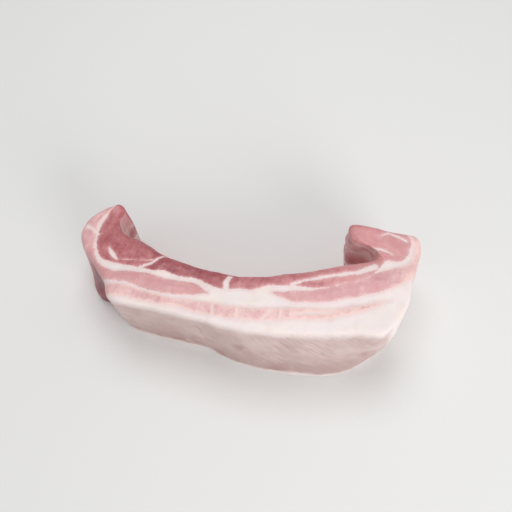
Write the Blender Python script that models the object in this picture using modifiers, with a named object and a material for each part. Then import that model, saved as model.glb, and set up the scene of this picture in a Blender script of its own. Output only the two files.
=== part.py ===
"""A slab of raw pork belly, standing on its cut edge, with both of its ends curled back.

The rind side faces -Y, the lean rib side +Y, and the two cut edges lie up and down.
The origin is at the middle of the base, X runs along the slab and +Z is up.
"""

import math

import bmesh
import bpy
from mathutils import Vector

NAME = "pork_belly_slab"
MM = 0.001

# Driving dimensions, in millimetres.
LEFT_HEIGHT = 59.0
RIGHT_HEIGHT = 65.0
WAVE_HEIGHT = 0.8
BULGE = 1.5

# The rind side's outline along the top edge, from the left end round to the right one. Each row is
# x, y and how far the base stands off from the top there, in x and in y.
RIND_SIDE = (
    (-108.5, 22, 0, 0),
    (-123.5, 5, -1, 0),
    (-124, -14, -4.5, 3),
    (-104.5, -31, -11, -5),
    (-90, -44.5, -1.5, 5.5),
    (-76, -58, -2.5, 4.5),
    (-45, -55, 0, 1),
    (-14, -55, 0, 3),
    (8, -55, 0, -2),
    (30, -52, 0, -5),
    (67, -42, 1, -8),
    (90, -35, 1, -3),
    (109, -29.5, -2, 10.5),
    (119.5, -5, -4.5, 5),
    (118, 13, -2, 0),
    (120.5, 38, -3, 0),
    (113.5, 50.5, -2, 0),
)

# The rib side's outline, in the same order. Its sharp turn is the inside of the tighter curl.
RIB_SIDE = (
    (-101, 19, 0, 0),
    (-101, 7, 0, 0),
    (-92, -3, 0, 0),
    (-76, -6, 0, 0),
    (-59, -11, 0, 0),
    (-40, -14, 0, 0),
    (-14, -15, 0, 0),
    (12, -12, 0, 0),
    (43, 0, 0, 0),
    (67, 12, 0, 0),
    (86, 22, 0, 0),
    (91, 28, 0, 0),
    (84, 34, 0, 0),
    (70, 37, 0, 0),
    (65, 48, 0, 0),
)

# Where the cage has its rows, as shares of the thickness and the height. They stand closer together
# near the edges, so that the edges stay crisp when the cage is smoothed.
ROWS_ALONG = 60
ACROSS = (0, 0.06, 0.35, 0.65, 0.94, 1)
UPWARD = (0, 0.05, 0.5, 0.95, 1)

FLESH = (0.71, 0.40, 0.39, 1)
ROUGHNESS = 0.45


def between(before, start, end, after, share):
    """A point on the Catmull-Rom curve from start to end."""
    straight = 2 * start + share * (end - before)
    bend = 2 * before - 5 * start + 4 * end - after
    twist = 3 * (start - end) + after - before
    return 0.5 * (straight + share**2 * bend + share**3 * twist)


def smooth_path(points, steps):
    """steps + 1 points, evenly spaced along a smooth curve through the given ones."""
    knots = [Vector(point) for point in points]
    knots = [2 * knots[0] - knots[1], *knots, 2 * knots[-1] - knots[-2]]
    fine = 20
    dense = [
        between(*four, index / fine)
        for four in zip(knots, knots[1:], knots[2:], knots[3:])
        for index in range(fine)
    ]
    dense.append(knots[-2])
    reach = [0.0]
    for first, second in zip(dense, dense[1:]):
        reach.append(reach[-1] + (second.xy - first.xy).length)
    path = []
    at = 0
    for index in range(steps + 1):
        wanted = reach[-1] * index / steps
        while at < len(dense) - 2 and reach[at + 1] < wanted:
            at += 1
        path.append(dense[at].lerp(dense[at + 1], (wanted - reach[at]) / (reach[at + 1] - reach[at])))
    return path


def height_at(x):
    """The slab is lower at its left end, and its cut top waves a little."""
    share = min(max((x + 120) / 120, 0), 1)
    rise = share * share * (3 - 2 * share)
    return LEFT_HEIGHT + (RIGHT_HEIGHT - LEFT_HEIGHT) * rise + WAVE_HEIGHT * math.sin(x / 17)


def slab_point(rind, rib, across, upward):
    """The point at these shares of the thickness and the height, between two points of the outlines."""
    top = rind.lerp(rib, across)
    base = Vector(top.zw) * (1 - upward)
    outward = (rind.xy - rib.xy).normalized() * (1 - 2 * across)
    bulge = outward * BULGE * 4 * upward * (1 - upward)
    plan = top.xy + base + bulge
    return Vector((plan.x, plan.y, height_at(plan.x) * upward)) * MM


def make_cage():
    """A box of ROWS_ALONG by the rows across and upward, bent round into the slab."""
    rind_path = smooth_path(RIND_SIDE, ROWS_ALONG)
    rib_path = smooth_path(RIB_SIDE, ROWS_ALONG)
    cage = bmesh.new()
    corners = {}

    def corner(along, across, upward):
        key = (along, across, upward)
        if key not in corners:
            place = slab_point(rind_path[along], rib_path[along], ACROSS[across], UPWARD[upward])
            corners[key] = cage.verts.new(place)
        return corners[key]

    last = (ROWS_ALONG, len(ACROSS) - 1, len(UPWARD) - 1)
    for axis in range(3):
        one, other = (axis + 1) % 3, (axis + 2) % 3
        for side in (0, last[axis]):
            for i in range(last[one]):
                for j in range(last[other]):
                    ring = []
                    for di, dj in ((0, 0), (1, 0), (1, 1), (0, 1)):
                        key = [0, 0, 0]
                        key[axis], key[one], key[other] = side, i + di, j + dj
                        ring.append(corner(*key))
                    cage.faces.new(ring if side else ring[::-1])
    return cage


def make_flesh():
    flesh = bpy.data.materials.new("flesh")
    flesh.use_nodes = True
    shader = flesh.node_tree.nodes["Principled BSDF"]
    shader.inputs["Base Color"].default_value = FLESH
    shader.inputs["Roughness"].default_value = ROUGHNESS
    return flesh


def centre_on_base(mesh):
    """Moves the mesh so that the origin is at the middle of its base."""
    for axis in range(2):
        places = [vertex.co[axis] for vertex in mesh.vertices]
        middle = (min(places) + max(places)) / 2
        for vertex in mesh.vertices:
            vertex.co[axis] -= middle
    lowest = min(vertex.co.z for vertex in mesh.vertices)
    for vertex in mesh.vertices:
        vertex.co.z -= lowest


def make_slab(collection):
    cage = make_cage()
    bmesh.ops.recalc_face_normals(cage, faces=cage.faces)
    mesh = bpy.data.meshes.new(NAME)
    cage.to_mesh(mesh)
    cage.free()
    mesh.shade_smooth()
    mesh.materials.append(make_flesh())
    slab = bpy.data.objects.new(NAME, mesh)
    collection.objects.link(slab)
    smooth = slab.modifiers.new("smooth", "SUBSURF")
    smooth.levels = 1
    smooth.render_levels = 1
    return slab


def main():
    for obj in list(bpy.data.objects):
        bpy.data.objects.remove(obj)
    collection = bpy.data.collections.new(NAME)
    bpy.context.scene.collection.children.link(collection)
    slab = make_slab(collection)
    bpy.context.view_layer.update()
    smoothed = bpy.data.meshes.new_from_object(slab.evaluated_get(bpy.context.evaluated_depsgraph_get()))
    slab.modifiers.clear()
    slab.data = smoothed
    centre_on_base(smoothed)


main()
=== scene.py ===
"""The looks of a slab of raw pork belly: its cut faces, rind, lean side and ends, a floor, lights and camera.

Lengths are in millimetres until a mesh is made, in the slab's own frame: X along the slab, Y from the
rind side to the lean rib side, Z up, with the origin at the middle of its base.
"""

import math

import bpy
import numpy as np
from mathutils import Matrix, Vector, noise


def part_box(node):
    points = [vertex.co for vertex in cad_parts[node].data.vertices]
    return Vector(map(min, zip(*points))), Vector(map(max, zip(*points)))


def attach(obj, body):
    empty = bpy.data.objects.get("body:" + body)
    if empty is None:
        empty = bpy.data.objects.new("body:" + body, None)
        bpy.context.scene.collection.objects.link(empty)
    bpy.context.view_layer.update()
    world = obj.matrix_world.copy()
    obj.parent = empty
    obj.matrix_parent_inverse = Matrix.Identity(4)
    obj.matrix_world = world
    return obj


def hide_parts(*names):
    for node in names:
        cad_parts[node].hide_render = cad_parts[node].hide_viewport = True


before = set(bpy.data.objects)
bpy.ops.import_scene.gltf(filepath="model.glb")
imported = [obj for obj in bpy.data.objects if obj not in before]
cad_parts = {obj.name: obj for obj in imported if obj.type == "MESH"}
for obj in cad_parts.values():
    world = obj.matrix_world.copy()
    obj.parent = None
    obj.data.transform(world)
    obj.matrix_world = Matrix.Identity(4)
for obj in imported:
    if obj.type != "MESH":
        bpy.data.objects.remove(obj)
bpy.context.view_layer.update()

MM = 0.001
NODE = "pork_belly_slab"
CLEARANCE = 0.05

# The slab's outline along its top edge on the rind side, from the left end to the right one: x, y and
# how far the base stands off from the top there. Then the same on the rib side. Both are the
# CAD part's own, before it was centred on its base.
RIND_SIDE = (
    (-108.5, 22, 0, 0),
    (-123.5, 5, -1, 0),
    (-124, -14, -4.5, 3),
    (-104.5, -31, -11, -5),
    (-90, -44.5, -1.5, 5.5),
    (-76, -58, -2.5, 4.5),
    (-45, -55, 0, 1),
    (-14, -55, 0, 3),
    (8, -55, 0, -2),
    (30, -52, 0, -5),
    (67, -42, 1, -8),
    (90, -35, 1, -3),
    (109, -29.5, -2, 10.5),
    (119.5, -5, -4.5, 5),
    (118, 13, -2, 0),
    (120.5, 38, -3, 0),
    (113.5, 50.5, -2, 0),
)
RIB_SIDE = (
    (-101, 19, 0, 0),
    (-101, 7, 0, 0),
    (-92, -3, 0, 0),
    (-76, -6, 0, 0),
    (-59, -11, 0, 0),
    (-40, -14, 0, 0),
    (-14, -15, 0, 0),
    (12, -12, 0, 0),
    (43, 0, 0, 0),
    (67, 12, 0, 0),
    (86, 22, 0, 0),
    (91, 28, 0, 0),
    (84, 34, 0, 0),
    (70, 37, 0, 0),
    (65, 48, 0, 0),
)
LEFT_HEIGHT = 59
RIGHT_HEIGHT = 65
WAVE_HEIGHT = 0.8
BULGE = 1.5
CENTRING = (4.1, 3.9)

ROWS_ALONG = 380
ROWS_ACROSS = 42
ROWS_UPWARD = 52
TOP_EDGE_RADIUS = 4.2
BASE_EDGE_RADIUS = 2.0

# The streaks of lean on the top cut face. Each point is x, y and half the streak's width.
OUTER_BAND = (
    (-84, -47, 4.2),
    (-76, -45, 4.6),
    (-66, -44, 4.3),
    (-53, -44, 3.5),
    (-40, -44, 3.1),
    (-28, -43, 2.9),
    (-15, -42, 3.8),
    (7, -40, 4.1),
    (22, -38, 3.8),
    (32, -35, 4.3),
    (45, -31, 4.2),
    (60, -26, 3.9),
    (74, -22, 3.4),
    (84, -17, 2.9),
    (94, -12, 2.4),
    (103, -6, 1.8),
    (112, -1, 0.9),
)
LEFT_LENS = (
    (-114, 20, 8),
    (-119, 6, 8),
    (-117, -5, 8),
    (-112, -17, 6.5),
    (-103, -28, 5),
    (-92, -34, 3.8),
    (-80, -35, 3.8),
    (-70, -33, 4.3),
    (-58, -33, 5.6),
    (-46, -33, 5.6),
    (-33, -32, 5.5),
    (-21, -30, 4.2),
    (-14, -30, 1.8),
    (-10, -30, 0.4),
)
RIGHT_LENS = (
    (32, -18, 0.3),
    (40, -18, 2.2),
    (49, -16, 4),
    (60, -13, 4.4),
    (70, -8, 5.3),
    (80, -2, 5.8),
    (91, 4, 6.2),
    (100, 10, 6.6),
    (108, 15, 6.4),
    (114, 20, 5.8),
    (119, 24, 4.6),
    (122, 32, 3.6),
    (122, 41, 3.8),
    (118, 50, 3.4),
    (108, 57, 2),
)

# The front edge of the lean layer on the rib side, from the left end to the right one.
RIB_LEAN_EDGE = (
    (-100, 45),
    (-107, 14),
    (-107, -4),
    (-104, -14),
    (-97, -23),
    (-87, -25),
    (-68, -24),
    (-57, -24),
    (-45, -22),
    (-34, -23),
    (-22, -21),
    (-11, -24),
    (0, -24),
    (11, -21),
    (20, -19),
    (28, -13.5),
    (37, -11),
    (48, -8),
    (57, -7),
    (67, -3),
    (76, 2),
    (85, 7),
    (94, 14),
    (98, 20),
    (102, 28),
    (107, 29),
    (112, 30.5),
    (115, 36),
    (115.5, 43),
    (114, 49),
    (106, 62),
)

# Fat within the lean layer, each point again with half a width.
FAT_STREAKS = (
    ((-66, -26, 1.2), (-58, -19, 1.0), (-53, -12, 0.9), (-50, -8, 0.4)),
    ((1, -14, 1.7), (0, -19, 1.9), (2, -25, 2.2)),
    ((44, -9, 1.5), (51, -4, 1.0), (62, 2.6, 1.1), (74, 8.2, 1.2), (85, 13.5, 1.4), (95, 21, 2.6)),
    ((-93, -15, 0.9), (-88, -19, 1.6), (-84, -22, 0.9)),
    ((-118, -1, 1), (-112, -2.5, 1.2), (-107, -6, 1.4)),
    ((93, 46, 0.4), (98, 50, 0.8), (102, 50, 0.9), (107, 48, 0.8), (112, 46.5, 0.9)),
    ((90, 35, 0.8), (95, 36, 0.8), (100, 35, 0.6), (105, 34, 0.3)),
    ((-4, -37, 0.6), (0, -46, 0.6)),
    ((14, -36, 0.4), (16, -42, 0.4)),
    ((36, -31, 0.4), (32, -39, 0.6)),
    ((43, -27, 0.4), (44, -35, 0.3)),
    ((50, -30, 0.3), (59, -26, 0.8), (69, -23, 0.8), (77, -19, 0.2)),
    ((-84, -22, -0.1), (-75, -20, 0.1), (-64, -18, 0.0), (-58, -16, 0.2)),
)

# Where the rind starts and ends, as millimetres along the rind side from the left end. It reaches
# further at the base on the right, and it stops a little above the base.
RIND_START = 101
RIND_END = 303
RIND_END_SLANT = 9
RIND_FOOT = 1.5

# Stained patches on the rind, each as millimetres along it, height and radius.
RIND_STAINS = (
    (150, 10, 22),
    (163, 20, 15),
    (125, 5, 18),
    (187, 6, 18),
    (226, 8, 16),
    (200, 36, 10),
    (286, 33, 9),
)

# The short crease down the rind, as points of millimetres along it and height.
CREASE = ((167, 50), (170, 38), (175, 26))
CREASE_HALF_WIDTH = 2.2

# The rind's slanting strokes, in millimetres along it: where their bend is measured from, and how
# strong they are.
STROKE_CENTRE = 210
STROKE_STRENGTHS = ((RIND_START, 0.15), (150, 0.3), (195, 0.75), (225, 1), (270, 0.9), (RIND_END, 0.5))

# How deep the lean's red is at each x, from 0, pale pink, to 1, dark red: in the two lenses, then on the
# rib side. There the deep red from about x -64 to 0 is partly the lean's own and partly painted shadow.
LENS_TONES = ((-112, 0.22), (-98, 0.36), (-20, 0.36), (25, 0.31), (104, 0.31), (120, 0.07))
RIB_TONES_WITH_PAINTED_SHADOW = (
    (-118, 0.55),
    (-100, 0.73),
    (-64, 0.73),
    (-56, 0.83),
    (0, 0.8),
    (8, 0.64),
    (50, 0.62),
    (75, 0.55),
    (90, 0.45),
)

# How far the layers drift between the top and the base, how far their edges waver, and the size of
# the lumps of each.
LAYER_DRIFT = 6.5
DRIFT_SIZE = 34
EDGE_WAVER = 0.45
WAVER_SIZE = 7

# The relief, as heights in millimetres. Each swell also has its lumps' size and a seed.
SWELLS = ((0.8, 30, 12), (0.35, 12, 18), (0.14, 6, 13))
LEAN_RISE = 0.45
LEAN_GRAIN = 0.10
THICK_LEAN_RISE = 0.5
STROKE_RISE = 0.3
RIND_RIPPLE = 0.3
MEMBRANE_RIPPLE = 0.5
FIBRE_RISE = 0.15
BARE_LEAN_SINK = 0.3

# How far the cut face falls away at its rib edge, and how wide that fall is.
RIB_EDGE_DROP = 2.2
RIB_EDGE_FALL = 8

# What stands out of the CAD solid's box is eased inward over this many times its own depth.
EASING = 5


def between(before, start, end, after, share):
    """A point on the Catmull-Rom curve from start to end."""
    straight = 2 * start + share * (end - before)
    bend = 2 * before - 5 * start + 4 * end - after
    twist = 3 * (start - end) + after - before
    return 0.5 * (straight + share**2 * bend + share**3 * twist)


def dense_path(points, fine):
    """A smooth curve through the points, with this many steps between each two."""
    knots = np.array(points, float)
    knots = np.vstack([2 * knots[0] - knots[1], knots, 2 * knots[-1] - knots[-2]])
    path = [
        between(*four, index / fine)
        for four in zip(knots, knots[1:], knots[2:], knots[3:])
        for index in range(fine)
    ]
    return np.array(path + [knots[-2]])


def even_path(points, steps):
    """steps + 1 points, evenly spaced along the smooth curve, and the curve's length."""
    dense = dense_path(points, 20)
    reach = np.append(0, np.cumsum(np.linalg.norm(np.diff(dense[:, :2], axis=0), axis=1)))
    wanted = np.linspace(0, reach[-1], steps + 1)
    return np.stack([np.interp(wanted, reach, column) for column in dense.T], axis=1), reach[-1]


def smooth_step(low, high, value):
    share = np.clip((value - low) / (high - low), 0, 1)
    return share * share * (3 - 2 * share)


def noise_at(places, size, seed):
    """Soft noise from about -1 to 1, whose lumps are this many millimetres across."""
    scaled = np.asarray(places, float) / size + seed * 7.3
    return np.array([noise.noise(Vector(place)) for place in scaled]) * 1.6


def height_at(x):
    rise = smooth_step(-120, 0, x)
    return LEFT_HEIGHT + (RIGHT_HEIGHT - LEFT_HEIGHT) * rise + WAVE_HEIGHT * np.sin(x / 17)


def read_off(table, positions):
    """The values at these positions, straight between the table's (position, value) pairs."""
    return np.interp(positions, *zip(*table))


class Outline:
    """The slab's body as shares along, across and upward, turned into places in millimetres."""

    def __init__(self):
        self.rind, self.rind_length = even_path(RIND_SIDE, ROWS_ALONG)
        self.rib, self.rib_length = even_path(RIB_SIDE, ROWS_ALONG)

    def at(self, path, along):
        rows = np.arange(ROWS_ALONG + 1) / ROWS_ALONG
        return np.stack([np.interp(along, rows, column) for column in path.T], axis=1)

    def thickness(self, along):
        across = self.at(self.rind, along) - self.at(self.rib, along)
        return np.linalg.norm(across[:, :2], axis=1)

    def place(self, shares):
        along, across, upward = shares.T
        rind = self.at(self.rind, along)
        rib = self.at(self.rib, along)
        top = rind + (rib - rind) * across[:, None]
        outward = rind[:, :2] - rib[:, :2]
        outward /= np.linalg.norm(outward, axis=1)[:, None]
        outward *= (1 - 2 * across)[:, None]
        bulge = outward * (BULGE * 4 * upward * (1 - upward))[:, None]
        plan = top[:, :2] + top[:, 2:] * (1 - upward)[:, None] + bulge
        z = height_at(plan[:, 0]) * upward
        return np.column_stack([plan + CENTRING, z])

    def round_edges(self, shares):
        """The shares with those near an edge moved inward, so that the edge becomes a quarter round."""
        along, across, upward = shares.T
        radius = (BASE_EDGE_RADIUS + (TOP_EDGE_RADIUS - BASE_EDGE_RADIUS) * upward)[:, None]
        length = self.rind_length + (self.rib_length - self.rind_length) * across
        high = height_at(self.at(self.rind, along)[:, 0])
        size = np.column_stack([length, self.thickness(along), high])
        point = shares * size
        inner = np.clip(point, radius, size - radius)
        out = point - inner
        far = np.linalg.norm(out, axis=1)[:, None]
        return (inner + out / np.maximum(far, 1e-9) * radius) / size


def box_grid():
    """The shares of every vertex on a box's six faces, and the faces' quads."""
    counts = (ROWS_ALONG, ROWS_ACROSS, ROWS_UPWARD)
    keys = []
    for axis in range(3):
        one, other = (axis + 1) % 3, (axis + 2) % 3
        i, j = np.meshgrid(np.arange(counts[one]), np.arange(counts[other]), indexing="ij")
        for side in (0, counts[axis]):
            ring = []
            for di, dj in ((0, 0), (1, 0), (1, 1), (0, 1)):
                key = np.empty((i.size, 3), int)
                key[:, axis] = side
                key[:, one] = i.ravel() + di
                key[:, other] = j.ravel() + dj
                ring.append(key)
            if not side:
                ring.reverse()
            keys.append(np.stack(ring, axis=1))
    keys = np.concatenate(keys)
    steps, quads = np.unique(keys.reshape(-1, 3), axis=0, return_inverse=True)
    return steps / np.array(counts), quads.reshape(-1, 4)


def streak_depth(places, points):
    """How far inside a streak each place lies, in millimetres; negative outside it."""
    path = dense_path(points, 4)
    best = np.full(len(places), -99.0)
    for start, end in zip(path, path[1:]):
        leg = end[:2] - start[:2]
        share = np.clip((places - start[:2]) @ leg / (leg @ leg), 0, 1)
        gap = np.linalg.norm(places - start[:2] - share[:, None] * leg, axis=1)
        best = np.maximum(best, start[2] + share * (end[2] - start[2]) - gap)
    return best


def depth_behind(places, points):
    """How far each place lies behind a line that runs from left to right; negative in front of it."""
    path = dense_path(points, 3)
    nearest = np.full(len(places), 1e9)
    side = np.ones(len(places))
    for start, end in zip(path, path[1:]):
        leg = end - start
        share = np.clip((places - start) @ leg / (leg @ leg), 0, 1)
        offset = places - start - share[:, None] * leg
        gap = np.linalg.norm(offset, axis=1)
        closer = gap < nearest
        turn = leg[0] * (places[:, 1] - start[1]) - leg[1] * (places[:, 0] - start[0])
        side[closer] = np.sign(turn[closer])
        nearest[closer] = gap[closer]
    return nearest * side


def noise_pair(places, size, seed):
    """Two unlike noises, for a shift along X and Y."""
    return np.column_stack([noise_at(places, size, seed), noise_at(places, size, seed + 1)])


def layer_spots(outline, shares, places):
    """Where on the top cut face each place's layers come up. They drift a little on their way down."""
    along, across, upward = shares.T
    top = outline.place(np.column_stack([along, across, np.ones(len(along))]))[:, :2]
    column = np.column_stack([top, places[:, 2] * 0.7])
    drift = noise_pair(column, DRIFT_SIZE, 1) * (1 - upward)[:, None] * LAYER_DRIFT
    return top + drift + noise_pair(places, WAVER_SIZE, 3) * EDGE_WAVER


def lean_tone(x, band_depth, lens_depth, rib_depth):
    """How deep the red is, which is the tone of the layer that each place lies deepest in."""
    band = 0.12 + 0.06 * smooth_step(-20, -70, x)
    tone = np.where(lens_depth > band_depth, read_off(LENS_TONES, x), band)
    # The rib side's tones hold painted shadow in their middle stretch.
    return np.where(rib_depth > np.maximum(lens_depth, band_depth), read_off(RIB_TONES_WITH_PAINTED_SHADOW, x), tone)


def cut_layers(spots):
    """How deep in lean each place lies, in millimetres, negative in fat, and the lean's tone there."""
    lenses = np.maximum(streak_depth(spots, LEFT_LENS), streak_depth(spots, RIGHT_LENS))
    band = streak_depth(spots, OUTER_BAND) - 1.6 * smooth_step(92, 112, spots[:, 0])
    rib = depth_behind(spots, RIB_LEAN_EDGE)
    tone = lean_tone(spots[:, 0], band, lenses, rib)
    lean = np.maximum(np.maximum(lenses, band), rib)
    for streak in FAT_STREAKS:
        lean = np.minimum(lean, -streak_depth(spots, streak))
    return lean, tone


def left_wall_lean_with_painted_shade(shares, rind_mm, lean, tone):
    """Turns the wall of the left end to lean below its top edge, and deepens it to dark red there as painted
    shade.
    """
    along, across, upward = shares.T
    wall = smooth_step(0.12, 0.0, across) * smooth_step(RIND_START, RIND_START - 12, rind_mm)
    # Painted shade: the lean of the left end's wall deepens to dark red below its top edge.
    painted_shade = wall * smooth_step(45, 75, rind_mm) * smooth_step(0.98, 0.83, upward)
    lean = np.where(painted_shade > 0.05, np.maximum(lean, 3 * painted_shade), lean)
    return lean, tone + painted_shade * (1 - tone)


def membrane_at(places):
    """The patchy membrane of the rib side, from about -1.5 to 1.5, drawn out along the slab."""
    broad = noise_at(places * (0.45, 0.45, 1.3), 15, 5)
    return broad + 0.5 * noise_at(places * (0.7, 0.7, 1.6), 6, 6)


def rind_depth(outline, shares, places, rind_mm):
    """How far inside the rind's border each place lies, in millimetres; negative outside it."""
    along, across, upward = shares.T
    from_top = height_at(places[:, 0]) - places[:, 2]
    edge = np.minimum(from_top, places[:, 2] - RIND_FOOT) - across * outline.thickness(along)
    right_end = RIND_END + RIND_END_SLANT * (1 - upward)
    ends = np.minimum(rind_mm - RIND_START, right_end - rind_mm)
    ends += (1.2 + 2.5 * (1 - upward)) * noise_at(places, 15, 17) + noise_at(places, 4, 8)
    return np.minimum(edge, ends)


def rind_marks(rind_mm, places):
    """The rind's stains and its crease, each 0 away from them and about 1 at their middle."""
    on_wall = np.column_stack([rind_mm, places[:, 2]])
    stain = np.zeros(len(places))
    for x, z, radius in RIND_STAINS:
        stain = np.maximum(stain, smooth_step(radius, 0, np.linalg.norm(on_wall - (x, z), axis=1)))
    bent = on_wall + (1.5 * noise_at(places, 9, 20))[:, None]
    crease = smooth_step(-CREASE_HALF_WIDTH, 0, streak_depth(bent, [(x, z, 0) for x, z in CREASE]))
    return {"stain": stain, "crease": crease * (0.7 + 0.5 * noise_at(places, 7, 21))}


def knife_strokes(rind_mm, places):
    """Where each place lies across and along the rind's slanting strokes, and how strong they are there."""
    reach = rind_mm - STROKE_CENTRE
    line = places[:, 2] + reach * (1.1 - 0.0031 * reach) + 0.004 * reach * (45 - places[:, 2])
    strength = read_off(STROKE_STRENGTHS, rind_mm)
    return {
        "stroke_line": line + 1.2 * noise_at(places, 22, 9),
        "stroke_reach": reach - places[:, 2],
        "stroke_strength": strength * (0.65 + 0.45 * noise_at(places, 17, 11)),
    }


def paint(outline, shares, places):
    """The value at each vertex of every named quantity that the meat's material reads."""
    rind_mm = shares[:, 0] * outline.rind_length
    lean, tone = cut_layers(layer_spots(outline, shares, places))
    lean, tone = left_wall_lean_with_painted_shade(shares, rind_mm, lean, tone)
    membrane = membrane_at(places)
    rib_side = smooth_step(0.95, 0.99, shares[:, 1])
    lean += rib_side * (2.6 - 3.6 * smooth_step(0.45, 1.0, membrane) - lean)
    tone += rib_side * (0.55 + 0.2 * noise_at(places, 18, 7) - tone)
    return {
        "lean": np.clip(lean, -8, 8),
        "tone": np.clip(tone, 0, 1),
        "rind": np.clip(rind_depth(outline, shares, places, rind_mm), -8, 25),
        **rind_marks(rind_mm, places),
        **knife_strokes(rind_mm, places),
        # Painted shade: how far the rind darkens towards the base.
        "low": smooth_step(45, 2, places[:, 2]),
        "veil": rib_side * smooth_step(-0.35, 0.7, membrane),
    }


def relief(shares, places, values):
    """How far the surface stands out at each vertex, in millimetres."""
    along, across, upward = shares.T
    cut = smooth_step(0.93, 0.99, upward)
    rib_wall = smooth_step(0.93, 0.99, across) * (1 - cut)
    on_lean = smooth_step(-0.8, 1.0, values["lean"])
    on_rind = smooth_step(-1.5, 1.0, values["rind"])
    height = sum(rise * noise_at(places, size, seed) for rise, size, seed in SWELLS)
    height += cut * on_lean * (LEAN_RISE + LEAN_GRAIN * noise_at(places, 2.6, 14))
    height += cut * THICK_LEAN_RISE * smooth_step(2, 7, values["lean"])
    in_stroke = np.column_stack([values["stroke_line"] / 5, values["stroke_reach"] / 40, across])
    height += on_rind * STROKE_RISE * values["stroke_strength"] * noise_at(in_stroke, 1, 15)
    height += on_rind * RIND_RIPPLE * noise_at(places, 12, 15)
    height -= on_rind * values["crease"]
    height += rib_wall * MEMBRANE_RIPPLE * noise_at(places * (0.4, 0.4, 1), 8, 16)
    fibre = FIBRE_RISE * noise_at(places * (0.2, 0.2, 1), 3, 19)
    return height + rib_wall * on_lean * (fibre - BARE_LEAN_SINK)


def drop_rib_edge(outline, shares, places):
    """The places, with the cut face falling away a little towards the rib side."""
    along, across, upward = shares.T
    from_edge = (1 - across) * outline.thickness(along)
    drop = RIB_EDGE_DROP * smooth_step(RIB_EDGE_FALL, 0, from_edge) * smooth_step(0.5, 1, upward)
    return places - np.outer(drop, (0, 0, 1))


def fit_to_part(places):
    """The places, with what stands out of the CAD solid's own box eased inward."""
    low, high = (np.array(corner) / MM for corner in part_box(NODE))
    columns = []
    for axis, column in enumerate(places.T):
        least, most = column.min(), column.max()
        under = low[axis] + CLEARANCE * (axis < 2) - least
        over = most - high[axis] + CLEARANCE
        if under > 0:
            column = column + under * smooth_step(least + EASING * under, least, column)
        if over > 0:
            column = column - over * smooth_step(most - EASING * over, most, column)
        columns.append(column)
    return np.column_stack(columns)


def new_mesh(name, places, quads):
    mesh = bpy.data.meshes.new(name)
    mesh.vertices.add(len(places))
    mesh.vertices.foreach_set("co", (places * MM).astype(np.float32).ravel())
    mesh.loops.add(quads.size)
    mesh.loops.foreach_set("vertex_index", quads.astype(np.int32).ravel())
    mesh.polygons.add(len(quads))
    mesh.polygons.foreach_set("loop_start", np.arange(0, quads.size, 4, dtype=np.int32))
    mesh.update(calc_edges=True)
    mesh.validate()
    mesh.shade_smooth()
    return mesh


def normals_of(mesh):
    normals = np.empty(len(mesh.vertices) * 3, np.float32)
    mesh.vertex_normals.foreach_get("vector", normals)
    return normals.reshape(-1, 3)


def make_slab():
    """The one visible piece, which stands for the CAD solid."""
    outline = Outline()
    shares, quads = box_grid()
    shares = outline.round_edges(shares)
    places = drop_rib_edge(outline, shares, outline.place(shares))
    values = paint(outline, shares, places)
    rough = new_mesh("rough_slab", places, quads)
    off_base = smooth_step(0.0, 0.06, shares[:, 2])
    height = relief(shares, places, values) * off_base
    places = places + normals_of(rough) * height[:, None]
    bpy.data.meshes.remove(rough)
    mesh = new_mesh("slab_meat", fit_to_part(places), quads)
    for name, numbers in values.items():
        layer = mesh.attributes.new(name, "FLOAT", "POINT")
        layer.data.foreach_set("value", numbers.astype(np.float32))
    slab = bpy.data.objects.new("slab_meat", mesh)
    bpy.context.scene.collection.objects.link(slab)
    mesh.materials.append(make_meat())
    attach(slab, "root")
    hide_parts(NODE)


def linear(red, green, blue):
    """A colour given as sRGB from 0 to 255, made linear for a shader."""
    return tuple(
        value / 12.92 if value <= 0.04045 else ((value + 0.055) / 1.055) ** 2.4
        for value in (red / 255, green / 255, blue / 255)
    ) + (1,)


FAT_WHITE = linear(243, 231, 230)
FAT_PINK = linear(235, 208, 206)
FAT_CREAM = linear(246, 232, 225)
LEAN_COLOURS = (
    (0.0, linear(244, 209, 203)),
    (0.25, linear(221, 168, 170)),
    (0.5, linear(214, 146, 148)),
    (0.75, linear(178, 98, 103)),
    (1.0, linear(130, 50, 62)),
)
RIND_TOP = linear(238, 224, 221)
RIND_PALE = linear(216, 194, 190)
RIND_DARK = linear(186, 157, 153)
RIND_STAIN_AND_CREASE_SHADE = linear(168, 126, 123)


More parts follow.
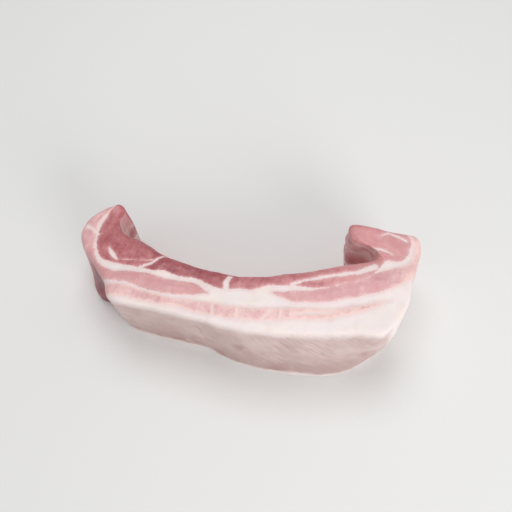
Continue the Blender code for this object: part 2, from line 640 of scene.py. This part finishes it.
class Nodes:
    """Adds shader nodes to a material, one short call each."""

    def __init__(self, name):
        self.material = bpy.data.materials.new(name)
        self.material.use_nodes = True
        self.tree = self.material.node_tree
        self.shader = self.tree.nodes["Principled BSDF"]
        self.object_place = self.tree.nodes.new("ShaderNodeTexCoord").outputs["Object"]

    def link(self, source, socket):
        if isinstance(source, bpy.types.NodeSocket):
            self.tree.links.new(source, socket)
        else:
            socket.default_value = source

    def attribute(self, name):
        node = self.tree.nodes.new("ShaderNodeAttribute")
        node.attribute_name = name
        return node.outputs["Fac"]

    def strokes(self, size, length, seed):
        """Streaky noise from 0 to 1 along the rind's strokes, this many millimetres wide and long."""
        spot = self.tree.nodes.new("ShaderNodeCombineXYZ")
        self.link(self.sum((self.attribute("stroke_line"), 1 / size)), spot.inputs["X"])
        self.link(self.sum((self.attribute("stroke_reach"), 1 / length)), spot.inputs["Y"])
        spot.inputs["Z"].default_value = seed
        node = self.tree.nodes.new("ShaderNodeTexNoise")
        node.inputs["Scale"].default_value = 1
        node.inputs["Detail"].default_value = 1.5
        self.link(spot.outputs["Vector"], node.inputs["Vector"])
        return node.outputs["Fac"]

    def cells(self, size):
        """0 on the borders between cells this many millimetres across, rising to about 0.5 inside them."""
        warp = self.tree.nodes.new("ShaderNodeTexNoise")
        warp.inputs["Scale"].default_value = 1 / (size * MM)
        self.link(self.object_place, warp.inputs["Vector"])
        bent = self.tree.nodes.new("ShaderNodeVectorMath")
        bent.operation = "MULTIPLY_ADD"
        self.link(warp.outputs["Color"], bent.inputs[0])
        bent.inputs[1].default_value = (size * MM, size * MM, size * MM)
        self.link(self.object_place, bent.inputs[2])
        node = self.tree.nodes.new("ShaderNodeTexVoronoi")
        node.feature = "DISTANCE_TO_EDGE"
        node.inputs["Scale"].default_value = 1 / (size * MM)
        self.link(bent.outputs["Vector"], node.inputs["Vector"])
        return node.outputs["Distance"]

    def noise(self, size, detail=2.0, stretch=None):
        """Noise from 0 to 1 whose lumps are this many millimetres across."""
        node = self.tree.nodes.new("ShaderNodeTexNoise")
        node.inputs["Scale"].default_value = 1 / (size * MM)
        node.inputs["Detail"].default_value = detail
        place = self.object_place
        if stretch:
            mapping = self.tree.nodes.new("ShaderNodeMapping")
            mapping.inputs["Scale"].default_value = stretch
            self.link(place, mapping.inputs["Vector"])
            place = mapping.outputs["Vector"]
        self.link(place, node.inputs["Vector"])
        return node.outputs["Fac"]

    def sum(self, *terms):
        """The sum of (socket, factor) terms and plain numbers."""
        total = None
        for term in terms:
            node = self.tree.nodes.new("ShaderNodeMath")
            node.operation = "MULTIPLY_ADD"
            source, factor = term if isinstance(term, tuple) else (term, 1)
            self.link(source, node.inputs[0])
            node.inputs[1].default_value = factor
            self.link(0 if total is None else total, node.inputs[2])
            total = node.outputs["Value"]
        return total

    def product(self, one, other):
        node = self.tree.nodes.new("ShaderNodeMath")
        node.operation = "MULTIPLY"
        self.link(one, node.inputs[0])
        self.link(other, node.inputs[1])
        return node.outputs["Value"]

    def step(self, value, low, high, bottom=0.0, top=1.0):
        """A soft step from bottom to top as value goes from low to high."""
        node = self.tree.nodes.new("ShaderNodeMapRange")
        node.interpolation_type = "SMOOTHSTEP"
        self.link(value, node.inputs["Value"])
        node.inputs["From Min"].default_value = low
        node.inputs["From Max"].default_value = high
        node.inputs["To Min"].default_value = bottom
        node.inputs["To Max"].default_value = top
        return node.outputs["Result"]

    def mix(self, share, first, second):
        node = self.tree.nodes.new("ShaderNodeMix")
        node.data_type = "RGBA"
        colours = [socket for socket in node.inputs if socket.type == "RGBA"]
        self.link(share, node.inputs["Factor"])
        self.link(first, colours[0])
        self.link(second, colours[1])
        return next(socket for socket in node.outputs if socket.type == "RGBA")

    def ramp(self, value, stops):
        node = self.tree.nodes.new("ShaderNodeValToRGB")
        elements = node.color_ramp.elements
        while len(elements) < len(stops):
            elements.new(0.5)
        for element, (position, colour) in zip(elements, stops):
            element.position = position
            element.color = colour
        self.link(value, node.inputs["Fac"])
        return node.outputs["Color"]

    def bump(self, height, deep):
        """A bump whose full height is this many millimetres."""
        node = self.tree.nodes.new("ShaderNodeBump")
        node.inputs["Strength"].default_value = 1
        node.inputs["Distance"].default_value = deep * MM
        self.link(height, node.inputs["Height"])
        return node.outputs["Normal"]


def lean_and_fat(nodes, grain, blotch, cloud):
    """The cut meat's colour, and how much of it is lean, from 0 to 1."""
    lean = nodes.sum(nodes.attribute("lean"), (grain, 1.8), (blotch, 1.0), -1.4)
    on_lean = nodes.step(lean, -0.7, 0.6)
    edge = nodes.step(lean, 0.0, 2.4, -0.14, 0.0)
    border = nodes.step(nodes.cells(3.4), 0.0, 0.2, -0.035, 0.005)
    fibre = nodes.noise(3.0, 2, (1, 0.25, 0.4))
    small = nodes.noise(3.6, 2)
    mottle = nodes.sum((blotch, 0.28), (small, 0.2), (grain, 0.06), (cloud, 0.2), (fibre, 0.2), -0.47)
    tone = nodes.sum(nodes.attribute("tone"), edge, border, mottle)
    lean_colour = nodes.ramp(tone, LEAN_COLOURS)
    fleck = nodes.step(nodes.noise(2.2, 3, (0.5, 1, 1)), 0.60, 0.78, 0.0, 0.24)
    lean_colour = nodes.mix(fleck, lean_colour, FAT_PINK)
    fat_colour = nodes.mix(nodes.step(cloud, 0.42, 0.68), FAT_WHITE, FAT_CREAM)
    tinted = nodes.sum(nodes.step(lean, -3.5, -0.4, 0.0, 0.55), (nodes.step(blotch, 0.5, 0.8), 0.3))
    fat_colour = nodes.mix(tinted, fat_colour, FAT_PINK)
    colour = nodes.mix(on_lean, fat_colour, lean_colour)
    veil = nodes.product(nodes.attribute("veil"), nodes.step(nodes.noise(5, 3), 0.3, 0.7, 0.35, 0.85))
    return nodes.mix(veil, colour, FAT_PINK), on_lean


def rind_look(nodes, grain, blotch, cloud, fine, broad):
    """The rind's colour: near white along its top edge, then grey pink with stains and fine strokes, with
    painted shade towards the base and in its crease.
    """
    strength = nodes.attribute("stroke_strength")
    lines = nodes.product(strength, nodes.sum((fine, 2.4), (broad, 0.9), -1.65))
    # Painted shade: the rind turns darker towards the base.
    low = nodes.attribute("low")
    mottle = nodes.sum((blotch, 0.4), (cloud, 0.7), (lines, 0.42), (grain, 0.15), (low, 0.4), -0.32)
    colour = nodes.mix(nodes.step(mottle, 0.0, 0.8), RIND_PALE, RIND_DARK)
    stained = nodes.product(nodes.attribute("stain"), nodes.step(blotch, 0.25, 0.6))
    # The stains are the rind's own colour; the crease is darkened with the same colour as painted shade in
    # its groove.
    colour = nodes.mix(nodes.sum((stained, 0.7), (nodes.attribute("crease"), 0.45)), colour, RIND_STAIN_AND_CREASE_SHADE)
    inside = nodes.sum(nodes.attribute("rind"), (blotch, 5), (grain, 1), -3)
    return nodes.mix(nodes.step(inside, 0.0, 8.0), RIND_TOP, colour)


def make_meat():
    """Raw pork: white fat, pink lean in layers and grey-pink rind, all moist."""
    nodes = Nodes("raw_pork")
    grain = nodes.noise(1.5, 3)
    blotch = nodes.noise(8, 3)
    cloud = nodes.noise(30, 2)
    fine = nodes.strokes(1.5, 20, 0)
    broad = nodes.strokes(4.5, 45, 5)
    meat_colour, on_lean = lean_and_fat(nodes, grain, blotch, cloud)
    rind = nodes.sum(nodes.attribute("rind"), (grain, 1.2), -0.6)
    on_rind = nodes.step(rind, -0.6, 0.8)
    colour = nodes.mix(on_rind, meat_colour, rind_look(nodes, grain, blotch, cloud, fine, broad))
    nodes.link(colour, nodes.shader.inputs["Base Color"])

    gloss = nodes.sum((nodes.noise(5, 2), 0.35), (on_lean, -0.08), (on_rind, 0.10), 0.30)
    nodes.link(gloss, nodes.shader.inputs["Roughness"])
    grooves = nodes.product(nodes.product(on_rind, nodes.attribute("stroke_strength")), fine)
    height = nodes.sum((nodes.noise(1.0, 2), 0.3), (nodes.noise(3.0, 2), 0.4), (grooves, -1.6))
    nodes.link(nodes.bump(height, 0.2), nodes.shader.inputs["Normal"])
    nodes.shader.inputs["Subsurface Weight"].default_value = 0.15
    nodes.shader.inputs["Subsurface Scale"].default_value = 0.002
    nodes.shader.inputs["Subsurface Radius"].default_value = (1.0, 0.4, 0.3)
    return nodes.material


def make_floor():
    bpy.ops.mesh.primitive_plane_add(size=8)
    floor = bpy.context.object
    floor.name = "floor"
    nodes = Nodes("floor_paper")
    nodes.shader.inputs["Base Color"].default_value = (0.85, 0.85, 0.84, 1)
    nodes.shader.inputs["Roughness"].default_value = 0.9
    floor.data.materials.append(nodes.material)


# The lamps are white and aim at the slab's middle: name, place, width in metres and power in watts.
LAMP_AIM = (0, 0, 0.03)
LAMPS = (
    ("overhead", (-0.1, 0.3, 1.1), 0.7, 5),
    ("front", (0.95, -0.8, 0.5), 0.6, 8.2),
)
WORLD_STRENGTH = 0.45


def light_scene():
    world = bpy.data.worlds.new("studio")
    bpy.context.scene.world = world
    world.use_nodes = True
    background = world.node_tree.nodes["Background"]
    background.inputs["Color"].default_value = (1, 1, 1, 1)
    background.inputs["Strength"].default_value = WORLD_STRENGTH
    for name, place, width, power in LAMPS:
        light = bpy.data.lights.new(name, "AREA")
        light.size = width
        light.energy = power
        lamp = bpy.data.objects.new(name, light)
        lamp.location = place
        lamp.rotation_euler = (Vector(LAMP_AIM) - Vector(place)).to_track_quat("-Z", "Y").to_euler()
        bpy.context.scene.collection.objects.link(lamp)


# The camera stands in front of the slab, above it and a little to its right. Metres and degrees.
CAMERA_PLACE = (0.1011, -0.1861, 0.4355)
CAMERA_TURN = (29.481, 3.662, 18.045)
FIELD_OF_VIEW = 45.92


def add_camera():
    camera = bpy.data.cameras.new("camera")
    camera.sensor_fit = "HORIZONTAL"
    camera.angle = math.radians(FIELD_OF_VIEW)
    camera.clip_start = 0.01
    holder = bpy.data.objects.new("camera", camera)
    holder.location = CAMERA_PLACE
    holder.rotation_euler = [math.radians(turn) for turn in CAMERA_TURN]
    bpy.context.scene.collection.objects.link(holder)
    bpy.context.scene.camera = holder


bpy.context.scene.view_settings.view_transform = "Standard"
make_slab()
make_floor()
light_scene()
add_camera()
